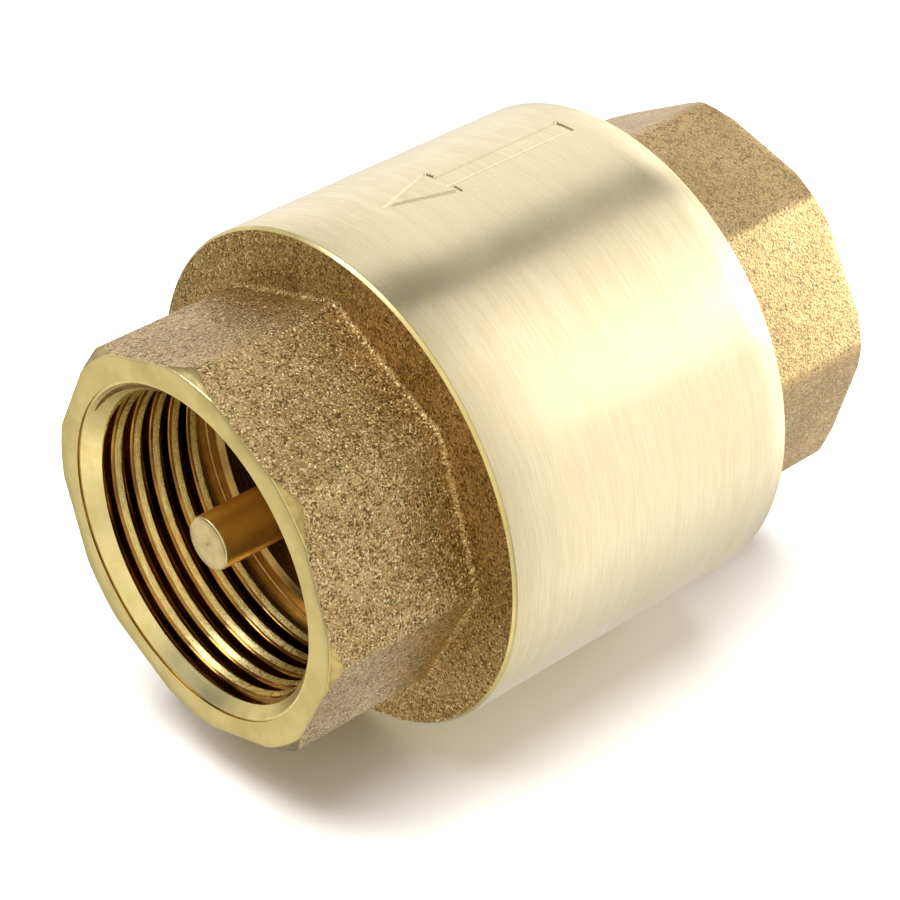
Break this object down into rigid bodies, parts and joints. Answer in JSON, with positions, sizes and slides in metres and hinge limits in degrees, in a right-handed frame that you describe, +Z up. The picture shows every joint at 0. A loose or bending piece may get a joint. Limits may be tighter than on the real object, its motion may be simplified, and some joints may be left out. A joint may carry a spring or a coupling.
{
  "type": "in-line spring check valve",
  "caption": "In-line spring check valve with a round turned body, octagonal female-threaded ends and a guided disc core whose stem shows in the outlet.",
  "frame": {"origin": "on the flow axis, halfway between the two end faces", "axes": "+X along the flow axis towards the outlet, +Z up with the valve lying on its round body"},
  "size_m": [0.056, 0.041, 0.041],
  "materials": {
    "forged_brass": "hot forged and blasted outside, turned on the barrel, end faces and threads",
    "turned_brass": "bright turned",
    "black_rubber": "matte moulded",
    "white_plastic": "matte moulded acetal",
    "stainless_steel": "drawn wire and stamped strip"
  },
  "bodies": {
    "valve_body": {"body": "forged_brass", "end_connection": "forged_brass", "joint_o_ring": "black_rubber", "outlet_guide": "turned_brass", "guide_bush": "white_plastic", "spring": "stainless_steel"},
    "valve_core": {"stem": "turned_brass", "valve_disc": "turned_brass", "seat_seal": "black_rubber", "seal_washer": "turned_brass", "lock_washer": "stainless_steel", "stem_nut": "turned_brass"}
  },
  "joints": [
    {"name": "core_lift", "type": "slide", "parent": "valve_body", "child": "valve_core", "axis": [1, 0, 0], "range_m": [0, 0.006], "stiffness_N_per_m": 520, "springref_m": -0.004, "deforming": ["spring"]}
  ]
}
